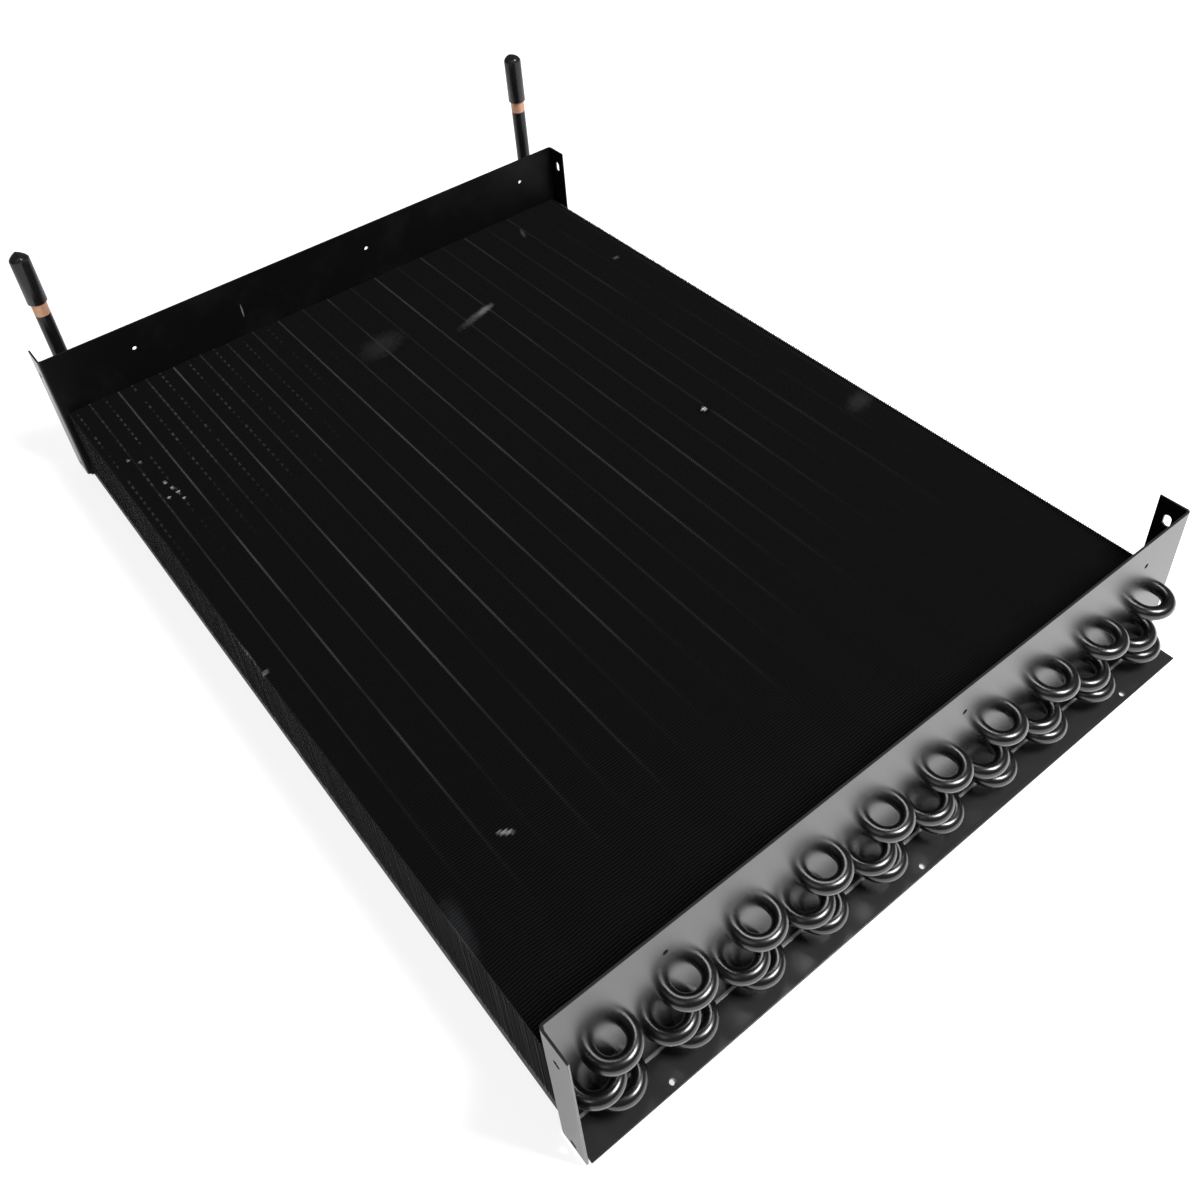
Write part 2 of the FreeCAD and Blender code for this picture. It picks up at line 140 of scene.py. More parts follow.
def plateMaterial(name, roughness, coat, specular):
    material, tree = newMaterial(name)
    place = addNode(tree, "ShaderNodeTexCoord").outputs["Object"]
    parts = addNode(tree, "ShaderNodeSeparateXYZ", None, {"Vector": place}).outputs
    peel = addNode(tree, "ShaderNodeTexNoise", {"Scale": 1 / (plateFinish["peelScale"] * mm), "Detail": 2},
                   {"Vector": place})
    dust = addNode(tree, "ShaderNodeTexNoise",
                   {"Scale": 1 / (plateFinish["dustScale"] * mm), "Detail": 4, "Roughness": 0.6},
                   {"Vector": place})
    start, full = plateFinish["dustNoise"]
    dustMask = addNode(tree, "ShaderNodeMapRange",
                       {"From Min": start, "From Max": full, "To Max": plateFinish["dustMost"]},
                       {"Value": dust.outputs["Fac"]})
    colour = addNode(tree, "ShaderNodeMix",
                     {"data_type": "RGBA", 6: hexToLinear(plateFinish["colour"]),
                      7: hexToLinear(plateFinish["dust"])},
                     {"Factor": dustMask.outputs["Result"]})
    # a painted highlight along the near fold, where web and foot meet, in the pale colour of bare steel
    bottom, rise, fall, top = [height * mm for height in plateFinish["paintedFoldHighlight"]]
    under = addNode(tree, "ShaderNodeMapRange", {"From Min": top, "From Max": fall}, {"Value": parts["Z"]})
    over = addNode(tree, "ShaderNodeMapRange", {"From Min": bottom, "From Max": rise}, {"Value": parts["Z"]})
    inFold = addNode(tree, "ShaderNodeMath", {"operation": "MULTIPLY"},
                     {0: under.outputs["Result"], 1: over.outputs["Result"]})
    outside = addNode(tree, "ShaderNodeMath",
                      {"operation": "LESS_THAN", 1: nearWeb + plateFinish["paintedFoldHighlightDepth"] * mm},
                      {0: parts["Y"]})
    paintedFoldHighlight = addNode(tree, "ShaderNodeMath", {"operation": "MULTIPLY"},
                     {0: inFold.outputs[0], 1: outside.outputs[0]})
    # one short stroke on the far web
    scratch = plateFinish["scratch"]
    local = addNode(tree, "ShaderNodeMapping",
                    {"vector_type": "TEXTURE", "Location": (scratch["x"] * mm, farWeb, scratch["z"] * mm),
                     "Scale": (scratch["width"] * mm, scratch["depth"] * mm, scratch["height"] * mm)},
                    {"Vector": place})
    reach = addNode(tree, "ShaderNodeVectorMath", {"operation": "LENGTH"}, {0: local.outputs["Vector"]})
    stroke = addNode(tree, "ShaderNodeMapRange",
                     {"From Min": 1.0, "From Max": plateFinish["scratchCore"],
                      "To Max": plateFinish["scratchMost"]},
                     {"Value": reach.outputs["Value"]})
    # the pale colour goes on the painted highlight along the fold and on the far web's scratch
    for mask in (paintedFoldHighlight.outputs[0], stroke.outputs["Result"]):
        colour = addNode(tree, "ShaderNodeMix", {"data_type": "RGBA", 7: hexToLinear(plateFinish["bare"])},
                         {"Factor": mask, 6: colour.outputs[2]})
    spread = plateFinish["roughnessSpread"]
    rough = addNode(tree, "ShaderNodeMapRange", {"To Min": roughness - spread, "To Max": roughness + spread},
                    {"Value": dust.outputs["Fac"]})
    bump = addNode(tree, "ShaderNodeBump", {"Strength": 1.0, "Distance": plateFinish["peelDepth"] * mm},
                   {"Height": peel.outputs["Fac"]})
    shader = addNode(tree, "ShaderNodeBsdfPrincipled",
                     {"IOR": plateFinish["ior"], "Specular IOR Level": specular,
                      "Coat Weight": coat, "Coat IOR": plateFinish["ior"],
                      "Coat Roughness": roughness - plateFinish["coatPolish"]},
                     {"Base Color": colour.outputs[2], "Roughness": rough.outputs["Result"],
                      "Normal": bump.outputs["Normal"]})
    dusty = addNode(tree, "ShaderNodeBsdfPrincipled",
                    {"Base Color": hexToLinear(plateFinish["dust"]),
                     "Roughness": plateFinish["dustRoughness"]},
                    {"Normal": bump.outputs["Normal"]})
    normal = addNode(tree, "ShaderNodeNewGeometry").outputs["True Normal"]
    facing = addNode(tree, "ShaderNodeSeparateXYZ", None, {"Vector": normal})
    settled = addNode(tree, "ShaderNodeMapRange",
                      {"From Min": plateFinish["dustTilt"], "From Max": 1.0,
                       "To Max": plateFinish["dustCover"]},
                      {"Value": facing.outputs["Z"]})
    both = addNode(tree, "ShaderNodeMixShader", None,
                   {"Fac": settled.outputs["Result"], 1: shader.outputs["BSDF"], 2: dusty.outputs["BSDF"]})
    addNode(tree, "ShaderNodeOutputMaterial", None, {"Surface": both.outputs["Shader"]})
    return material


# The same enamel on drawn copper tube, which is smoother than sheet and has small bright highlights
tubeFinish = {
    "colour": "#0a0a0b",
    "ior": 1.5,
    "roughness": 0.28,
    "roughnessSpread": 0.04,
    "coat": 1.0,
    "coatRoughness": 0.2,
    "blotchScale": 12,     # mm, runs and thin places in the spray
}


def tubeMaterial():
    material, tree = newMaterial("sprayedBlackEnamelOnTube")
    place = addNode(tree, "ShaderNodeTexCoord").outputs["Object"]
    blotch = addNode(tree, "ShaderNodeTexNoise", {"Scale": 1 / (tubeFinish["blotchScale"] * mm), "Detail": 3},
                     {"Vector": place})
    spread = tubeFinish["roughnessSpread"]
    rough = addNode(tree, "ShaderNodeMapRange",
                    {"To Min": tubeFinish["roughness"] - spread, "To Max": tubeFinish["roughness"] + spread},
                    {"Value": blotch.outputs["Fac"]})
    shader = addNode(tree, "ShaderNodeBsdfPrincipled",
                     {"Base Color": hexToLinear(tubeFinish["colour"]), "IOR": tubeFinish["ior"],
                      "Coat Weight": tubeFinish["coat"], "Coat Roughness": tubeFinish["coatRoughness"],
                      "Coat IOR": tubeFinish["ior"]},
                     {"Roughness": rough.outputs["Result"]})
    addNode(tree, "ShaderNodeOutputMaterial", None, {"Surface": shader.outputs["BSDF"]})
    return material


enamelPlate = plateMaterial("sprayedBlackEnamelOnSteel", plateFinish["roughness"], plateFinish["coat"],
                            plateFinish["specular"])
dryEnamelPlate = plateMaterial("drySprayedBlackEnamelOnSteel", plateFinish["dryRoughness"],
                               plateFinish["dryCoat"], plateFinish["drySpecular"])
enamelTube = tubeMaterial()
print("enamel made")


# The two plates keep the form of the solids, with the long cut edges rounded as paint leaves them
plateEdge = {
    "width": 0.4,          # mm
    "segments": 2,
    "angle": 50,           # degrees, a sharper corner than this is an edge
    "shortest": 12.0,      # mm, so that holes and bends stay as they are
    "merge": 0.005,        # mm, points closer than this are one
    "flat": 0.5,           # degrees, faces flatter to each other than this are one
    "leftFacing": -0.7,    # X of the normal, below which a face has the glossier paint
}


def makePlate(node, name, material):
    limit = math.radians(plateEdge["angle"])
    work = bmesh.new()
    work.from_mesh(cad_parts[node].data)
    bmesh.ops.remove_doubles(work, verts=work.verts, dist=plateEdge["merge"] * mm)
    bmesh.ops.dissolve_limit(work, angle_limit=math.radians(plateEdge["flat"]), verts=work.verts,
                             edges=work.edges)
    outline = [edge for edge in work.edges
               if edge.calc_length() > plateEdge["shortest"] * mm and edge.calc_face_angle(0.0) > limit]
    bmesh.ops.bevel(work, geom=outline, offset=plateEdge["width"] * mm, offset_type="OFFSET",
                    segments=plateEdge["segments"], profile=0.5, affect="EDGES")
    for face in work.faces:
        face.smooth = True
    mesh = bpy.data.meshes.new(name)
    work.to_mesh(mesh)
    work.free()
    mesh.set_sharp_from_angle(angle=limit)
    holder = newObject(name + "Work", mesh)
    flatten = holder.modifiers.new("flatFacesFirst", "WEIGHTED_NORMAL")
    flatten.mode = "FACE_AREA"
    flatten.weight = 100
    flatten.keep_sharp = True
    finished = bpy.data.meshes.new_from_object(holder.evaluated_get(bpy.context.evaluated_depsgraph_get()))
    bpy.data.objects.remove(holder)
    piece = makePiece(name, finished, material, node, plateEdge["angle"])
    piece.data.materials.append(enamelPlate)
    for polygon in piece.data.polygons:
        if polygon.normal.x < plateEdge["leftFacing"]:
            polygon.material_index = 1


makePlate("near_end_plate", "nearPlate", enamelPlate)
makePlate("far_end_plate", "farPlate", dryEnamelPlate)
print("plates made")


# Tubing: round tube swept along its centre line, in three rows. Lengths in mm.
tubing = {
    "radius": 4.76,
    "bendRadius": 12.7,
    "standoff": 1.0,         # straight tube between the near web and a bend
    "socketRadius": 5.35,    # swelled tube ends that go over the far legs
    "socketLength": 6.0,
    "socketTaper": 0.8,      # over which a socket narrows to plain tube
    "sides": 24,
    "bendSteps": 24,
    "hairpins": 10,          # in each row
}
rowNames = ("top", "middle", "bottom")


def sweepTube(path, radii, sides):
    # rings of a round tube along a path, closed at both ends
    verts = []
    faces = []
    across = None
    for i, point in enumerate(path):
        before = path[max(i - 1, 0)]
        after = path[min(i + 1, len(path) - 1)]
        along = (after - before).normalized()
        if across is None:
            across = along.orthogonal().normalized()
        across = (across - along * across.dot(along)).normalized()
        side = along.cross(across)
        for k in range(sides):
            turn = 2 * math.pi * k / sides
            verts.append(point + (across * math.cos(turn) + side * math.sin(turn)) * radii[i])
    for i in range(len(path) - 1):
        for k in range(sides):
            a = i * sides + k
            b = i * sides + (k + 1) % sides
            faces.append((a, b, b + sides, a + sides))
    faces.append(tuple(reversed(range(sides))))
    faces.append(tuple((len(path) - 1) * sides + k for k in range(sides)))
    return verts, faces


def halfRound(centre, outward, sideways, radius, steps):
    points = []
    for i in range(steps + 1):
        turn = math.pi * i / steps
        points.append(centre - sideways * radius * math.cos(turn) + outward * radius * math.sin(turn))
    return points


def hairpinMesh(node):
    low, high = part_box(node)
    middle = (low.x + high.x) / 2
    height = (low.z + high.z) / 2
    bendRadius = tubing["bendRadius"] * mm
    centre = Vector((middle, nearWeb - tubing["standoff"] * mm, height))
    bend = halfRound(centre, Vector((0, -1, 0)), Vector((1, 0, 0)), bendRadius, tubing["bendSteps"])
    path = [Vector((middle - bendRadius, high.y, height))] + bend
    path += [Vector((middle + bendRadius, high.y, height))]
    return meshFrom(node, *sweepTube(path, [tubing["radius"] * mm] * len(path), tubing["sides"]))


for rowName in rowNames:
    for index in range(1, tubing["hairpins"] + 1):
        node = f"hairpin_{rowName}_{index:02d}"
        name = f"hairpin{rowName.title()}{index:02d}"
        makePiece(name, hairpinMesh(node), enamelTube, node)


def farBendMesh(name, legPairs, legEnd):
    # each bend joins two leg ends and has a short swelled socket over each
    verts = []
    faces = []
    lift = Vector((0, legEnd, 0))
    back = Vector((0, -tubing["socketLength"] * mm, 0))
    step = Vector((0, -tubing["socketTaper"] * mm, 0))
    swelled = tubing["socketRadius"] * mm
    plain = tubing["radius"] * mm
    for left, right in legPairs:
        centre = (left + right) / 2
        sideways = (right - left).normalized()
        radius = (right - left).length / 2
        bend = halfRound(centre + lift, Vector((0, 1, 0)), sideways, radius, tubing["bendSteps"])
        path = [bend[0] + back, bend[0] + step] + bend + [bend[-1] + step, bend[-1] + back]
        radii = [swelled, swelled] + [plain] * len(bend) + [swelled, swelled]
        newVerts, newFaces = sweepTube(path, radii, tubing["sides"])
        faces += [tuple(v + len(verts) for v in face) for face in newFaces]
        verts += newVerts
    return meshFrom(name, verts, faces)


def legOf(node, side):
    low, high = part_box(node)
    middle = (low.x + high.x) / 2
    return Vector((middle + side * tubing["bendRadius"] * mm, 0, (low.z + high.z) / 2))


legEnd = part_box("hairpin_top_01")[1].y
for rowName in rowNames:
    pairs = []
    for index in range(1, tubing["hairpins"]):
        left = legOf(f"hairpin_{rowName}_{index:02d}", 1)
        right = legOf(f"hairpin_{rowName}_{index + 1:02d}", -1)
        pairs.append((left, right))
    name = f"returnBends{rowName.title()}"
    makePiece(name, farBendMesh(name, pairs, legEnd), enamelTube, f"return_bends_{rowName}")
crossovers = (
    ("crossoverRight", "crossover_bend_right", legOf("hairpin_middle_10", 1), legOf("hairpin_top_10", 1)),
    ("crossoverLeft", "crossover_bend_left", legOf("hairpin_middle_01", -1), legOf("hairpin_bottom_01", -1)),
)
for name, node, start, end in crossovers:
    makePiece(name, farBendMesh(name, [(start, end)], legEnd), enamelTube, node)
print("tubing made")


# Fins: thin aluminium sheets, sprayed black with the rest. Each has a fold at every tube, and the folds
# line up from sheet to sheet. Lengths in mm.
firstTube = legOf("hairpin_top_01", -1).x
fins = {
    "pitch": 2.0,
    "thickness": 0.2,
    "wave": 0.5,
    "sideGap": 0.5,          # leaves a fin room to wander inside the pack
    "wander": 0.3,
    "lean": 0.02,            # degrees
    "seed": 7,
    "fillEnds": 2.0,         # what closes the gaps stops this far from the pack's ends
    "coreSides": 4.0,
    "coreTop": 5.0,
    "wall": (1.2, 1.56),     # in from each side, its two faces
    "wallTop": 0.8,
}


def finSheet():
    half = fins["thickness"] / 2 * mm
    left = packLow.x + fins["sideGap"] * mm
    right = packHigh.x - fins["sideGap"] * mm
    stations = [left] + [firstTube + tubePitch * k for k in range(2 * tubing["hairpins"])] + [right]
    verts = []
    for i, x in enumerate(stations):
        wave = fins["wave"] * mm * (1 if i % 2 else -1)
        for y in (wave - half, wave + half):
            verts.append((x, y, packLow.z))
            verts.append((x, y, packHigh.z))
    faces = []
    for a in range(0, 4 * (len(stations) - 1), 4):
        b = a + 4
        faces += [(a, b, b + 1, a + 1), (b + 2, a + 2, a + 3, b + 3), (a + 1, b + 1, b + 3, a + 3),
                  (a + 2, b + 2, b, a)]
    end = 4 * (len(stations) - 1)
    faces += [(0, 1, 3, 2), (end + 1, end, end + 2, end + 3)]
    return meshFrom("finSheet", verts, faces)


def finTree(material):
    tree = bpy.data.node_groups.new("stackOfFins", "GeometryNodeTree")
    sockets = {}
    for name, kind in (("Sheet", "Geometry"), ("Count", "Int"), ("Pitch", "Float"), ("Wander", "Float"),
                       ("Lean", "Float"), ("Seed", "Int")):
        socket = tree.interface.new_socket(name, in_out="INPUT", socket_type="NodeSocket" + kind)
        sockets[name] = socket.identifier
    tree.interface.new_socket("Stack", in_out="OUTPUT", socket_type="NodeSocketGeometry")
    given = addNode(tree, "NodeGroupInput").outputs
    step = addNode(tree, "ShaderNodeCombineXYZ", None, {"Y": given["Pitch"]})
    line = addNode(tree, "GeometryNodeMeshLine", {"mode": "OFFSET"},
                   {"Count": given["Count"], "Offset": step.outputs["Vector"]})
    wanderLow = addNode(tree, "ShaderNodeMath", {"operation": "MULTIPLY", 1: -1.0}, {0: given["Wander"]})
    wander = addNode(tree, "FunctionNodeRandomValue", {"data_type": "FLOAT"},
                     {2: wanderLow.outputs[0], 3: given["Wander"], "Seed": given["Seed"]})
    shift = addNode(tree, "ShaderNodeCombineXYZ", None, {"X": wander.outputs[1]})
    moved = addNode(tree, "GeometryNodeSetPosition", None,
                    {"Geometry": line.outputs["Mesh"], "Offset": shift.outputs["Vector"]})
    leanLow = addNode(tree, "ShaderNodeMath", {"operation": "MULTIPLY", 1: -1.0}, {0: given["Lean"]})
    leanSeed = addNode(tree, "ShaderNodeMath", {"operation": "ADD", 1: 1.0}, {0: given["Seed"]})
    lean = addNode(tree, "FunctionNodeRandomValue", {"data_type": "FLOAT"},
                   {2: leanLow.outputs[0], 3: given["Lean"], "Seed": leanSeed.outputs[0]})
    turn = addNode(tree, "ShaderNodeCombineXYZ", None, {"Z": lean.outputs[1]})
    instances = addNode(tree, "GeometryNodeInstanceOnPoints", None,
                        {"Points": moved.outputs["Geometry"], "Instance": given["Sheet"],
                         "Rotation": turn.outputs["Vector"]})
    real = addNode(tree, "GeometryNodeRealizeInstances", None, {"Geometry": instances.outputs["Instances"]})
    painted = addNode(tree, "GeometryNodeSetMaterial", {"Material": material},
                      {"Geometry": real.outputs["Geometry"]})
    addNode(tree, "NodeGroupOutput", None, {"Stack": painted.outputs["Geometry"]})
    return tree, sockets


# Satin black spray on aluminium fin stock. Long grey lines are painted highlights where the fins' folds catch
# the light; those over every second tube are the clearer ones, and all of them fade towards the near right
# corner.
finFinish = {
    "colour": "#131314",
    "ior": 1.5,
    "roughness": 0.5,
    "line": "#707174",
    "lineWidth": 2.0,            # mm
    "faintLine": 0.35,
    "patchScale": 90,            # mm, how long a stretch of line stays clear
    "patchStretch": 3.0,         # how many times as long as wide
    "patchNoise": (0.3, 0.65),   # noise levels where a line is faint and clear
    "patchLeast": 0.15,
    "nearFade": (70, 300),       # mm from the near end, where the lines start and are full
    "rightFade": 400,            # mm from the right side, where they are full
    "rightLeast": 0.1,
    "dashWidth": 2.4,            # mm
    "dashPitch": 8.0,            # mm
    "dashGap": (0.2, 0.3),       # of the pitch, where a gap ends and a dash is full
    "dashCorner": (30, 60),      # mm from the left side and the far end, where the dashes are clearest
    "dashReach": (190, 20),      # mm from there, where they start and are full
    "dashMost": 0.9,
    "dashBreak": 25,             # mm, how far a run of dashes goes on
    "dashNoise": (0.4, 0.58),    # noise levels where a run starts and is full
    "markGrain": 4,              # mm, what makes the marks' edges ragged
    "markEdge": (1.6, 0.8),      # where a mark starts and is full
    "markDepth": (6, 2),         # mm under the pack's top, where marks start and are full
    # each mark: place, half length and half width in mm, turn in degrees, colour, strength
    "marks": (
        (142.9, 351.8, 7.0, 7.0, 0, "#030303", 0.9),
        (142.9, 351.8, 2.6, 2.4, 0, "#f2f2f2", 1.0),
        (80.9, 587.8, 24.0, 5.0, 17, "#6c6d70", 0.6),
        (92.0, 591.5, 12.0, 4.0, 17, "#9a9b9e", 0.6),
        (-5.7, 608.0, 26.0, 16.0, 20, "#3c3c3e", 0.6),
        (240.3, 275.6, 16.0, 10.0, 20, "#4a4a4c", 0.5),
        # a painted glint along a bent fin on the left side, and its hook
        (-254.4, 370.6, 28.0, 1.6, 92, "#8c8d90", 0.8),
        (-252.0, 341.0, 4.0, 2.0, 20, "#8c8d90", 0.8),
        # a painted glint
        (-197.5, 139.7, 5.5, 2.0, -35, "#c4c5c8", 0.9),
        (-225.9, 567.9, 1.8, 1.8, 0, "#d0d0d0", 1.0),
        (-224.0, 558.5, 1.6, 1.6, 0, "#d0d0d0", 1.0),
        (-222.4, 550.8, 1.8, 1.8, 0, "#d0d0d0", 1.0),
        (-221.6, 541.0, 1.5, 1.5, 0, "#d0d0d0", 1.0),
        (-230.5, 549.0, 1.5, 1.5, 0, "#d0d0d0", 1.0),
        (-238.2, 614.1, 2.0, 1.6, 0, "#b0b0b0", 1.0),
        (-231.5, 604.8, 1.8, 1.6, 0, "#a0a0a0", 1.0),
        (231.4, 576.4, 3.4, 2.4, 0, "#707174", 0.9),
        (193.0, 675.0, 9.0, 2.2, 70, "#5a5b5e", 0.7),
        (-250.9, 105.5, 26.0, 7.0, 80, "#4a4b4e", 0.5),
    ),
}


def finMaterial():
    material, tree = newMaterial("satinBlackFinStock")
    place = addNode(tree, "ShaderNodeTexCoord").outputs["Object"]
    parts = addNode(tree, "ShaderNodeSeparateXYZ", None, {"Vector": place}).outputs
    masks = []
    for shift, strength in ((0, finFinish["faintLine"]), (1, 1.0)):
        fromTube = addNode(tree, "ShaderNodeMath",
                           {"operation": "SUBTRACT", 1: firstTube + shift * tubePitch}, {0: parts["X"]})
        nearest = addNode(tree, "ShaderNodeMath", {"operation": "PINGPONG", 1: tubePitch},
                          {0: fromTube.outputs[0]})
        mask = addNode(tree, "ShaderNodeMapRange",
                       {"From Min": finFinish["lineWidth"] / 2 * mm, "From Max": 0.0, "To Max": strength},
                       {"Value": nearest.outputs[0]})
        masks.append(mask.outputs["Result"])
    paintedFoldLines = addNode(tree, "ShaderNodeMath", {"operation": "MAXIMUM"}, {0: masks[0], 1: masks[1]})
    stretched = addNode(tree, "ShaderNodeMapping", {"Scale": (finFinish["patchStretch"], 1.0, 1.0)},
                        {"Vector": place})
    patch = addNode(tree, "ShaderNodeTexNoise", {"Scale": 1 / (finFinish["patchScale"] * mm), "Detail": 4},
                    {"Vector": stretched.outputs["Vector"]})
    faint, clear = finFinish["patchNoise"]
    patchMask = addNode(tree, "ShaderNodeMapRange",
                        {"From Min": faint, "From Max": clear, "To Min": finFinish["patchLeast"]},
                        {"Value": patch.outputs["Fac"]})
    start, full = finFinish["nearFade"]
    fromNear = addNode(tree, "ShaderNodeMapRange",
                       {"From Min": packLow.y + start * mm, "From Max": packLow.y + full * mm},
                       {"Value": parts["Y"]})
    fromRight = addNode(tree, "ShaderNodeMapRange",
                        {"From Min": packHigh.x, "From Max": packHigh.x - finFinish["rightFade"] * mm,
                         "To Min": finFinish["rightLeast"]}, {"Value": parts["X"]})
    for fade in (patchMask, fromNear, fromRight):
        paintedFoldLines = addNode(tree, "ShaderNodeMath", {"operation": "MULTIPLY"},
                       {0: paintedFoldLines.outputs[0], 1: fade.outputs["Result"]})
    # near the far left corner the painted highlight runs over every tube of all three rows, in short dashes
    fromFirst = addNode(tree, "ShaderNodeMath", {"operation": "SUBTRACT", 1: firstTube}, {0: parts["X"]})
    anyTube = addNode(tree, "ShaderNodeMath", {"operation": "PINGPONG", 1: tubePitch / 4},
                      {0: fromFirst.outputs[0]})
    dashes = addNode(tree, "ShaderNodeMapRange",
                     {"From Min": finFinish["dashWidth"] / 2 * mm, "From Max": 0.0},
                     {"Value": anyTube.outputs[0]})
    pitch = finFinish["dashPitch"] * mm
    beat = addNode(tree, "ShaderNodeMath", {"operation": "PINGPONG", 1: pitch / 2}, {0: parts["Y"]})
    start, full = finFinish["dashGap"]
    dash = addNode(tree, "ShaderNodeMapRange", {"From Min": pitch * start, "From Max": pitch * full},
                   {"Value": beat.outputs[0]})
    fromLeft, fromFar = finFinish["dashCorner"]
    corner = (packLow.x + fromLeft * mm, packHigh.y - fromFar * mm, packHigh.z)
    away = addNode(tree, "ShaderNodeVectorMath", {"operation": "DISTANCE", 1: corner}, {0: place})
    start, full = finFinish["dashReach"]
    close = addNode(tree, "ShaderNodeMapRange",
                    {"From Min": start * mm, "From Max": full * mm, "To Max": finFinish["dashMost"]},
                    {"Value": away.outputs["Value"]})
    broken = addNode(tree, "ShaderNodeTexNoise",
                     {"Scale": 1 / (finFinish["dashBreak"] * mm), "Detail": 4, "Roughness": 0.7},
                     {"Vector": place})
    start, full = finFinish["dashNoise"]
    dashRuns = addNode(tree, "ShaderNodeMapRange", {"From Min": start, "From Max": full},
                   {"Value": broken.outputs["Fac"]})
    for fade in (dash, close, dashRuns):
        dashes = addNode(tree, "ShaderNodeMath", {"operation": "MULTIPLY"},
                         {0: dashes.outputs[0], 1: fade.outputs["Result"]})
    paintedFoldLines = addNode(tree, "ShaderNodeMath", {"operation": "MAXIMUM"},
                   {0: paintedFoldLines.outputs[0], 1: dashes.outputs[0]})
    # the grey of the painted fold highlights is mixed into the fin paint
    colour = addNode(tree, "ShaderNodeMix",
                     {"data_type": "RGBA", 6: hexToLinear(finFinish["colour"]),
                      7: hexToLinear(finFinish["line"])},
                     {"Factor": paintedFoldLines.outputs[0]})
    # the marks, on the pack's top only
    grain = addNode(tree, "ShaderNodeTexNoise", {"Scale": 1 / (finFinish["markGrain"] * mm), "Detail": 3},
                    {"Vector": place})
    start, full = finFinish["markDepth"]
    upper = addNode(tree, "ShaderNodeMapRange",
                    {"From Min": packHigh.z - start * mm, "From Max": packHigh.z - full * mm},
                    {"Value": parts["Z"]})
    start, full = finFinish["markEdge"]
    for x, y, length, width, turn, shade, strength in finFinish["marks"]:
        local = addNode(tree, "ShaderNodeMapping",
                        {"vector_type": "TEXTURE", "Location": (x * mm, y * mm, 0),
                         "Rotation": (0, 0, math.radians(turn)), "Scale": (length * mm, width * mm, 1)},
                        {"Vector": place})
        flat = addNode(tree, "ShaderNodeVectorMath", {"operation": "MULTIPLY", 1: (1, 1, 0)},
                       {0: local.outputs["Vector"]})
        reach = addNode(tree, "ShaderNodeVectorMath", {"operation": "LENGTH"}, {0: flat.outputs["Vector"]})
        ragged = addNode(tree, "ShaderNodeMath", {"operation": "ADD"},
                         {0: reach.outputs["Value"], 1: grain.outputs["Fac"]})
        spot = addNode(tree, "ShaderNodeMapRange", {"From Min": start, "From Max": full, "To Max": strength},
                       {"Value": ragged.outputs[0]})
        mask = addNode(tree, "ShaderNodeMath", {"operation": "MULTIPLY"},
                       {0: spot.outputs["Result"], 1: upper.outputs["Result"]})
        colour = addNode(tree, "ShaderNodeMix", {"data_type": "RGBA", 7: hexToLinear(shade)},
                         {"Factor": mask.outputs[0], 6: colour.outputs[2]})
    shader = addNode(tree, "ShaderNodeBsdfPrincipled",
                     {"Roughness": finFinish["roughness"], "IOR": finFinish["ior"]},
                     {"Base Color": colour.outputs[2]})
    addNode(tree, "ShaderNodeOutputMaterial", None, {"Surface": shader.outputs["BSDF"]})
    return material


def makeFins():
    material = finMaterial()
    sheet = finSheet()
    reach = (fins["thickness"] + fins["wave"]) * mm   # room that a folded sheet needs at each end
    sheet.transform(Matrix.Translation((0, packLow.y + reach, 0)))
    holder = newObject("finWork", sheet)
    tree, sockets = finTree(material)
    stack = holder.modifiers.new("stack", "NODES")
    stack.node_group = tree
    span = packHigh.y - packLow.y - 2 * reach
    count = int(span / (fins["pitch"] * mm)) + 1
    values = {"Count": count, "Pitch": span / (count - 1), "Wander": fins["wander"] * mm,
              "Lean": math.radians(fins["lean"]), "Seed": fins["seed"]}
    for name, value in values.items():
        stack[sockets[name]] = value
    mesh = bpy.data.meshes.new_from_object(holder.evaluated_get(bpy.context.evaluated_depsgraph_get()))
    holder.modifiers.remove(stack)
    bpy.data.objects.remove(holder)
    mesh.name = "finStack"
    # dark blocks of the fin paint stand in for the shade deep between the fins and close the gaps a little
    # way in: a core, and a wall just inside each side
    solid = bmesh.new()
    solid.from_mesh(mesh)
    core = fins["coreSides"] * mm
    outer, inner = [depth * mm for depth in fins["wall"]]
    for lowX, highX, top in ((packLow.x + core, packHigh.x - core, fins["coreTop"]),
                             (packLow.x + outer, packLow.x + inner, fins["wallTop"]),
                             (packHigh.x - inner, packHigh.x - outer, fins["wallTop"])):
        low = Vector((lowX, packLow.y + fins["fillEnds"] * mm, packLow.z + top * mm))
        high = Vector((highX, packHigh.y - fins["fillEnds"] * mm, packHigh.z - top * mm))
        place = Matrix.Translation((low + high) / 2) @ Matrix.Diagonal((*(high - low), 1))
        bmesh.ops.create_cube(solid, size=1, matrix=place)
    solid.to_mesh(mesh)
    solid.free()
    makePiece("finStack", mesh, material, "fin_pack")
    print("fins", count, "triangles", sum(len(polygon.vertices) - 2 for polygon in mesh.polygons))


makeFins()


# Stubs: sprayed black enamel on copper, masked under the cap, so that a band of bare copper stays warm and
# half shiny. Lengths in mm.
stubs = {
    "radius": 6.35,
    "elbow": 19.0,
    "riser": 32.0,         # behind the far web
    "underCap": 9.0,       # from the cap's top down to the tube's end
    "chamfer": (0.6, 1.0),   # off the radius and along the tube, at the end that goes over the leg
    "sides": 28,
    "steps": 14,
}
stubFinish = {
    "paint": "#1a1a1b",
    "paintRoughness": 0.3,
    "ior": 1.5,
    "copper": "#ffcfae",
    "copperDark": "#eba982",
    "metallic": 0.4,                # skinned over, so only part of the way to bright metal
    "copperRoughness": (0.4, 0.6),
    "drawnScale": 5,                # mm, drawing marks on the copper
    "raggedScale": 3,               # mm, along the edge of the paint
    "ragged": 0.5,                  # mm up and down
    "soft": 0.3,                    # mm over which the paint thins out
    "inletPaint": 146,              # mm above the floor, where the paint ends
    "outletPaint": 156,
}


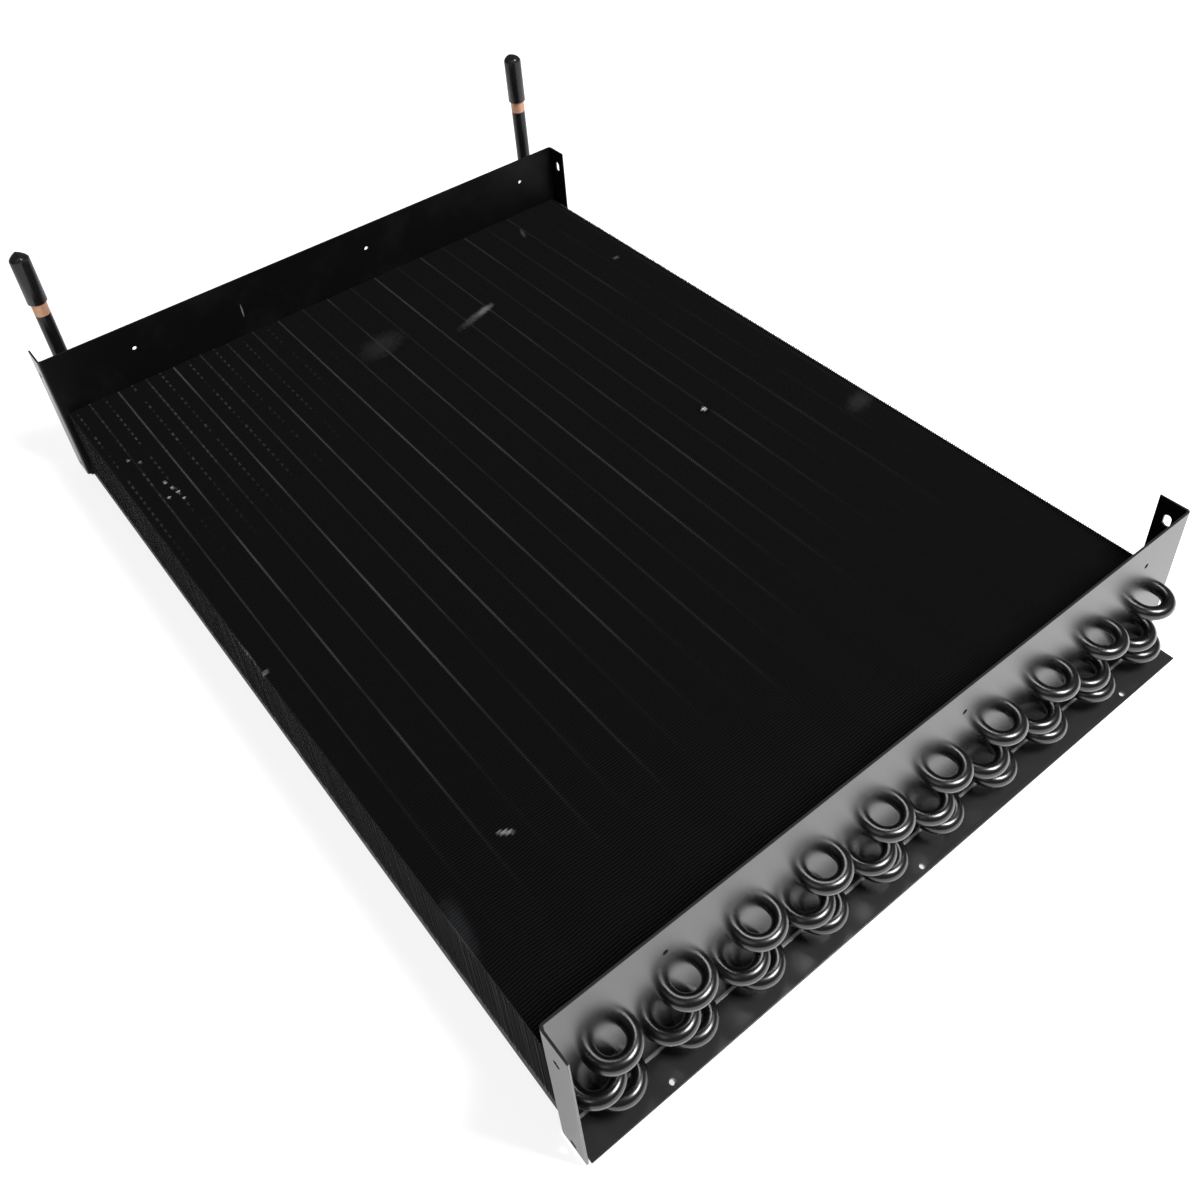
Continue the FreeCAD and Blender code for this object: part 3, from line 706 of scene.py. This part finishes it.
def stubMaterial(name, paintTop):
    material, tree = newMaterial(name)
    place = addNode(tree, "ShaderNodeTexCoord").outputs["Object"]
    height = addNode(tree, "ShaderNodeSeparateXYZ", None, {"Vector": place}).outputs["Z"]
    edge = addNode(tree, "ShaderNodeTexNoise", {"Scale": 1 / (stubFinish["raggedScale"] * mm), "Detail": 3},
                   {"Vector": place})
    ragged = stubFinish["ragged"] * mm
    offset = addNode(tree, "ShaderNodeMapRange", {"To Min": -ragged, "To Max": ragged},
                     {"Value": edge.outputs["Fac"]})
    level = addNode(tree, "ShaderNodeMath", {"operation": "ADD"}, {0: height, 1: offset.outputs["Result"]})
    bare = addNode(tree, "ShaderNodeMapRange",
                   {"From Min": paintTop * mm, "From Max": (paintTop + stubFinish["soft"]) * mm},
                   {"Value": level.outputs[0]})
    drawn = addNode(tree, "ShaderNodeTexNoise",
                    {"Scale": 1 / (stubFinish["drawnScale"] * mm), "Detail": 5, "Roughness": 0.7},
                    {"Vector": place})
    copper = addNode(tree, "ShaderNodeMix",
                     {"data_type": "RGBA", 6: hexToLinear(stubFinish["copperDark"]),
                      7: hexToLinear(stubFinish["copper"])},
                     {"Factor": drawn.outputs["Fac"]})
    smooth, dull = stubFinish["copperRoughness"]
    rough = addNode(tree, "ShaderNodeMapRange", {"To Min": smooth, "To Max": dull},
                    {"Value": drawn.outputs["Fac"]})
    metal = addNode(tree, "ShaderNodeBsdfPrincipled", {"Metallic": stubFinish["metallic"]},
                    {"Base Color": copper.outputs[2], "Roughness": rough.outputs["Result"]})
    paint = addNode(tree, "ShaderNodeBsdfPrincipled",
                    {"Base Color": hexToLinear(stubFinish["paint"]), "IOR": stubFinish["ior"],
                     "Roughness": stubFinish["paintRoughness"]})
    mixed = addNode(tree, "ShaderNodeMixShader", None,
                    {"Fac": bare.outputs["Result"], 1: paint.outputs["BSDF"], 2: metal.outputs["BSDF"]})
    addNode(tree, "ShaderNodeOutputMaterial", None, {"Surface": mixed.outputs["Shader"]})
    return material


def makeStub(node, name, paintTop, cap):
    low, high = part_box(node)
    radius = stubs["radius"] * mm
    elbow = stubs["elbow"] * mm
    inward, along = [size * mm for size in stubs["chamfer"]]
    centreX = (low.x + high.x) / 2
    riserY = farWeb + stubs["riser"] * mm
    tubeZ = low.z + radius
    path = [Vector((centreX, low.y, tubeZ)), Vector((centreX, low.y + along, tubeZ))]
    corner = Vector((centreX, riserY - elbow, tubeZ + elbow))
    for i in range(stubs["steps"] + 1):
        turn = math.pi / 2 * i / stubs["steps"]
        path.append(corner + Vector((0, elbow * math.sin(turn), -elbow * math.cos(turn))))
    path.append(Vector((centreX, riserY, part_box(cap)[1].z - stubs["underCap"] * mm)))
    radii = [radius - inward] + [radius] * (len(path) - 1)
    mesh = meshFrom(name, *sweepTube(path, radii, stubs["sides"]))
    makePiece(name, mesh, stubMaterial(name + "EnamelAndCopper", paintTop), node)


makeStub("inlet_stub", "inletStub", stubFinish["inletPaint"], "inlet_cap")
makeStub("outlet_stub", "outletStub", stubFinish["outletPaint"], "outlet_cap")


# Caps: dipped black vinyl, glossy and a little wavy, with a rounded end that is pinched to a ridge. Lengths
# in mm.
caps = {
    "inside": 6.45,
    "outside": 8.0,
    "ceiling": 7.0,        # under the top
    "lip": 0.5,
    "dome": 6.0,
    "domeSteps": 8,
    "sides": 40,
    "inletPinch": 3.2,     # how far the ridge's two sides drop
    "outletPinch": 1.4,
    "smooth": 60,          # degrees
}
capFinish = {
    "colour": "#202021",
    "ior": 1.5,
    "roughness": (0.18, 0.38),
    "skinScale": 2.5,      # mm
    "skinDepth": 0.15,     # mm
    "skinStrength": 0.5,
}


def capMaterial():
    material, tree = newMaterial("dippedBlackVinyl")
    place = addNode(tree, "ShaderNodeTexCoord").outputs["Object"]
    skin = addNode(tree, "ShaderNodeTexNoise", {"Scale": 1 / (capFinish["skinScale"] * mm), "Detail": 5},
                   {"Vector": place})
    bump = addNode(tree, "ShaderNodeBump",
                   {"Strength": capFinish["skinStrength"], "Distance": capFinish["skinDepth"] * mm},
                   {"Height": skin.outputs["Fac"]})
    smooth, dull = capFinish["roughness"]
    rough = addNode(tree, "ShaderNodeMapRange", {"To Min": smooth, "To Max": dull},
                    {"Value": skin.outputs["Fac"]})
    shader = addNode(tree, "ShaderNodeBsdfPrincipled",
                     {"Base Color": hexToLinear(capFinish["colour"]), "IOR": capFinish["ior"]},
                     {"Roughness": rough.outputs["Result"], "Normal": bump.outputs["Normal"]})
    addNode(tree, "ShaderNodeOutputMaterial", None, {"Surface": shader.outputs["BSDF"]})
    return material


dippedVinyl = capMaterial()


def makeCap(node, name, pinch):
    # rings of (radius, height) in mm from the top's middle down the outside and up to the ceiling's middle
    low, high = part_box(node)
    centre = (low + high) / 2
    outside = caps["outside"]
    dome = caps["dome"]
    top = high.z / mm
    base = low.z / mm
    rings = [(0.0, top)]
    for i in range(caps["domeSteps"], -1, -1):
        turn = math.pi / 2 * i / caps["domeSteps"]
        rings.append((outside - dome + dome * math.cos(turn), top - dome + dome * math.sin(turn)))
    rings += [(outside, base + caps["lip"]), (outside - caps["lip"], base), (caps["inside"], base),
              (caps["inside"], top - caps["ceiling"]), (0.0, top - caps["ceiling"])]
    verts = []
    faces = []
    sides = caps["sides"]
    for radius, height in rings:
        if radius == 0.0:
            verts.append((centre.x, centre.y, height * mm))
            continue
        for k in range(sides):
            turn = 2 * math.pi * k / sides
            x = radius * math.cos(turn)
            y = radius * math.sin(turn)
            drop = pinch * abs(x) / outside * max(0.0, height - top + dome) / dome
            verts.append((centre.x + x * mm, centre.y + y * mm, (height - drop) * mm))
    last = 1 + (len(rings) - 3) * sides   # first point of the ceiling's ring
    end = len(verts) - 1
    for k in range(sides):
        faces.append((0, 1 + k, 1 + (k + 1) % sides))
        faces.append((end, last + (k + 1) % sides, last + k))
    for a in range(1, last, sides):
        for k in range(sides):
            after = (k + 1) % sides
            faces.append((a + k, a + k + sides, a + after + sides, a + after))
    makePiece(name, meshFrom(name, verts, faces), dippedVinyl, node, caps["smooth"])


makeCap("inlet_cap", "inletCap", caps["inletPinch"])
makeCap("outlet_cap", "outletCap", caps["outletPinch"])
print("stubs and caps made")


def direction(azimuth, elevation):
    # azimuth goes from +Y towards +X, elevation up from the floor, both in degrees
    turn = math.radians(azimuth)
    lift = math.radians(elevation)
    return Vector((math.sin(turn) * math.cos(lift), math.cos(turn) * math.cos(lift), math.sin(lift)))


# Camera where the photo was taken from: above the near left corner, a little tipped to one side
camera = {
    "eye": (-363.1, -232.1, 698.7),   # mm
    "azimuth": 34.44,
    "elevation": -41.59,
    "roll": -5.22,
    "lens": 37.2,                     # mm, on a sensor of this width
    "sensor": 36,
    "shift": -0.11,
    "clip": (0.01, 50),
}


def makeCamera():
    data = bpy.data.cameras.new("camera")
    data.sensor_width = camera["sensor"]
    data.lens = camera["lens"]
    data.shift_y = camera["shift"]
    data.clip_start, data.clip_end = camera["clip"]
    holder = newObject("camera", data)
    forward = direction(camera["azimuth"], camera["elevation"])
    right = forward.cross(Vector((0, 0, 1))).normalized()
    up = right.cross(forward)
    roll = math.radians(camera["roll"])
    acrossFrame = right * math.cos(roll) + up * math.sin(roll)
    upFrame = up * math.cos(roll) - right * math.sin(roll)
    turn = Matrix((acrossFrame, upFrame, -forward)).transposed()
    holder.matrix_world = Matrix.Translation(Vector(camera["eye"]) * mm) @ turn.to_4x4()
    bpy.context.scene.camera = holder


makeCamera()


# Floor: a white table that goes on out of sight. The camera sees it whiter, and pure white further out, with
# the soft shadow kept. Under the coil it isn't made whiter, so that the feet's holes stay grey.
floor = {
    "size": 30.0,          # m
    "colour": "#f2f2f2",
    "shown": 0.8,          # glow that the camera sees near the coil
    "fade": (1.0, 2.5),    # m, over which that glow grows to full white
    "mirrored": 0.45,      # glow in reflections
}


def makeFloor():
    half = floor["size"] / 2
    corners = [(-half, -half, 0), (half, -half, 0), (half, half, 0), (-half, half, 0)]
    holder = newObject("floor", meshFrom("floor", corners, [(0, 1, 2, 3)]))
    material, tree = newMaterial("whiteTable")
    holder.data.materials.append(material)
    rays = addNode(tree, "ShaderNodeLightPath").outputs
    mirrored = addNode(tree, "ShaderNodeMath", {"operation": "MAXIMUM"},
                       {0: rays["Is Glossy Ray"], 1: rays["Is Transmission Ray"]})
    dimmed = addNode(tree, "ShaderNodeMath", {"operation": "MULTIPLY", 1: floor["mirrored"]},
                     {0: mirrored.outputs[0]})
    place = addNode(tree, "ShaderNodeTexCoord").outputs["Object"]
    away = addNode(tree, "ShaderNodeVectorMath", {"operation": "LENGTH"}, {0: place})
    start, full = floor["fade"]
    shown = addNode(tree, "ShaderNodeMapRange",
                    {"From Min": start, "From Max": full, "To Min": floor["shown"]},
                    {"Value": away.outputs["Value"]})
    parts = addNode(tree, "ShaderNodeSeparateXYZ", None, {"Vector": place}).outputs
    clear = []
    for axis, start, end in (("X", packLow.x, packHigh.x), ("Y", plateLow.y, farHigh.y)):
        aside = addNode(tree, "ShaderNodeMath", {"operation": "SUBTRACT", 1: (start + end) / 2},
                        {0: parts[axis]})
        spread = addNode(tree, "ShaderNodeMath", {"operation": "ABSOLUTE"}, {0: aside.outputs[0]})
        beyond = addNode(tree, "ShaderNodeMath", {"operation": "GREATER_THAN", 1: (end - start) / 2},
                         {0: spread.outputs[0]})
        clear.append(beyond.outputs[0])
    uncovered = addNode(tree, "ShaderNodeMath", {"operation": "MAXIMUM"}, {0: clear[0], 1: clear[1]})
    glowing = addNode(tree, "ShaderNodeMath", {"operation": "MULTIPLY"},
                      {0: shown.outputs["Result"], 1: uncovered.outputs[0]})
    strength = addNode(tree, "ShaderNodeMath", {"operation": "MULTIPLY_ADD"},
                       {0: rays["Is Camera Ray"], 1: glowing.outputs[0], 2: dimmed.outputs[0]})
    matte = addNode(tree, "ShaderNodeBsdfDiffuse", {"Color": hexToLinear(floor["colour"])})
    glow = addNode(tree, "ShaderNodeEmission", {"Color": (1, 1, 1, 1)}, {"Strength": strength.outputs[0]})
    both = addNode(tree, "ShaderNodeAddShader", None, {0: matte.outputs["BSDF"], 1: glow.outputs["Emission"]})
    addNode(tree, "ShaderNodeOutputMaterial", None, {"Surface": both.outputs["Shader"]})


# World: white where the camera looks past the floor, and only a little light in the room
room = {"light": 0.12, "seen": 1.0}


def makeWorld():
    world = bpy.data.worlds.new("studio")
    world.use_nodes = True
    tree = world.node_tree
    tree.nodes.clear()
    rays = addNode(tree, "ShaderNodeLightPath").outputs
    light = addNode(tree, "ShaderNodeBackground", {"Color": (1, 1, 1, 1), "Strength": room["light"]})
    seen = addNode(tree, "ShaderNodeBackground", {"Color": (1, 1, 1, 1), "Strength": room["seen"]})
    pick = addNode(tree, "ShaderNodeMixShader", None,
                   {"Fac": rays["Is Camera Ray"], 1: light.outputs["Background"],
                    2: seen.outputs["Background"]})
    addNode(tree, "ShaderNodeOutputWorld", None, {"Surface": pick.outputs["Shader"]})
    bpy.context.scene.world = world


# Softboxes, all square and turned to the coil. Distance and size in m, power in W.
lampAim = Vector((0, 0.2, 0.05))
lamps = {
    "key": {"azimuth": 148, "elevation": 56, "distance": 1.9, "size": 0.62, "power": 34.0},
    "fill": {"azimuth": 250, "elevation": 50, "distance": 3.0, "size": 1.6, "power": 5.0},
}


def makeLamps():
    for name, lamp in lamps.items():
        data = bpy.data.lights.new(name, "AREA")
        data.shape = "SQUARE"
        data.size = lamp["size"]
        data.energy = lamp["power"]
        holder = newObject(name, data)
        way = direction(lamp["azimuth"], lamp["elevation"])
        holder.location = lampAim + way * lamp["distance"]
        holder.rotation_mode = "QUATERNION"
        holder.rotation_quaternion = way.to_track_quat("Z", "Y")


makeFloor()
makeWorld()
makeLamps()
bpy.context.scene.view_settings.view_transform = "Standard"
print("camera and studio made")
